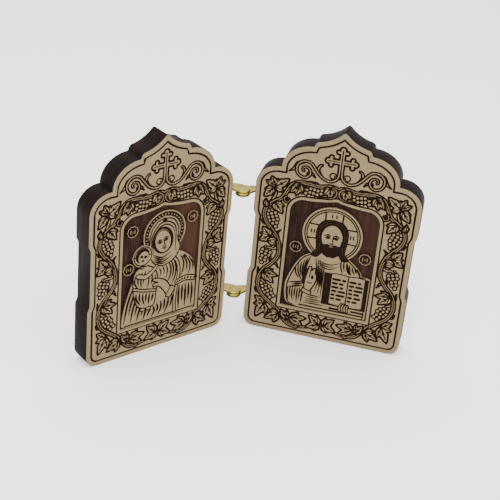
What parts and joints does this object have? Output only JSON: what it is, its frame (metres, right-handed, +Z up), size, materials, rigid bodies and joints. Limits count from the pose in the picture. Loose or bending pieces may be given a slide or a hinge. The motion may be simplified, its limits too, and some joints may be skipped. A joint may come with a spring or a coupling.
{
  "type": "diptych icon",
  "caption": "Folding icon of carved wooden leaves with stepped, keel-topped outlines and sunk figure fields, joined at their inner edges by small riveted brass hinges.",
  "frame": {"origin": "bottom centre of the bounding box of the half-open icon, on the surface that it stands on", "axes": "+Z up, -Y towards the viewer who faces the carved fronts, +X to that viewer's right"},
  "size_m": [0.1278, 0.0354, 0.0874],
  "materials": {
    "carved_wood": "satin lacquer on a pale face with charred engraved lines and charred edges",
    "brass": "bright"
  },
  "bodies": {
    "right_half": {"right_leaf": "carved_wood", "lower_right_arm": "brass", "lower_right_barrel": "brass", "upper_right_arm": "brass", "upper_right_barrel": "brass"},
    "left_half": {"left_leaf": "carved_wood", "lower_left_arm": "brass", "lower_left_barrel": "brass", "lower_rivet": "brass", "upper_left_arm": "brass", "upper_left_barrel": "brass", "upper_rivet": "brass"}
  },
  "joints": [
    {"name": "fold", "type": "hinge", "parent": "right_half", "child": "left_half", "pos_m": [0, 0.0115, 0.0437], "axis": [0, 0, 1], "range_deg": [-52.3, 127.7]}
  ]
}
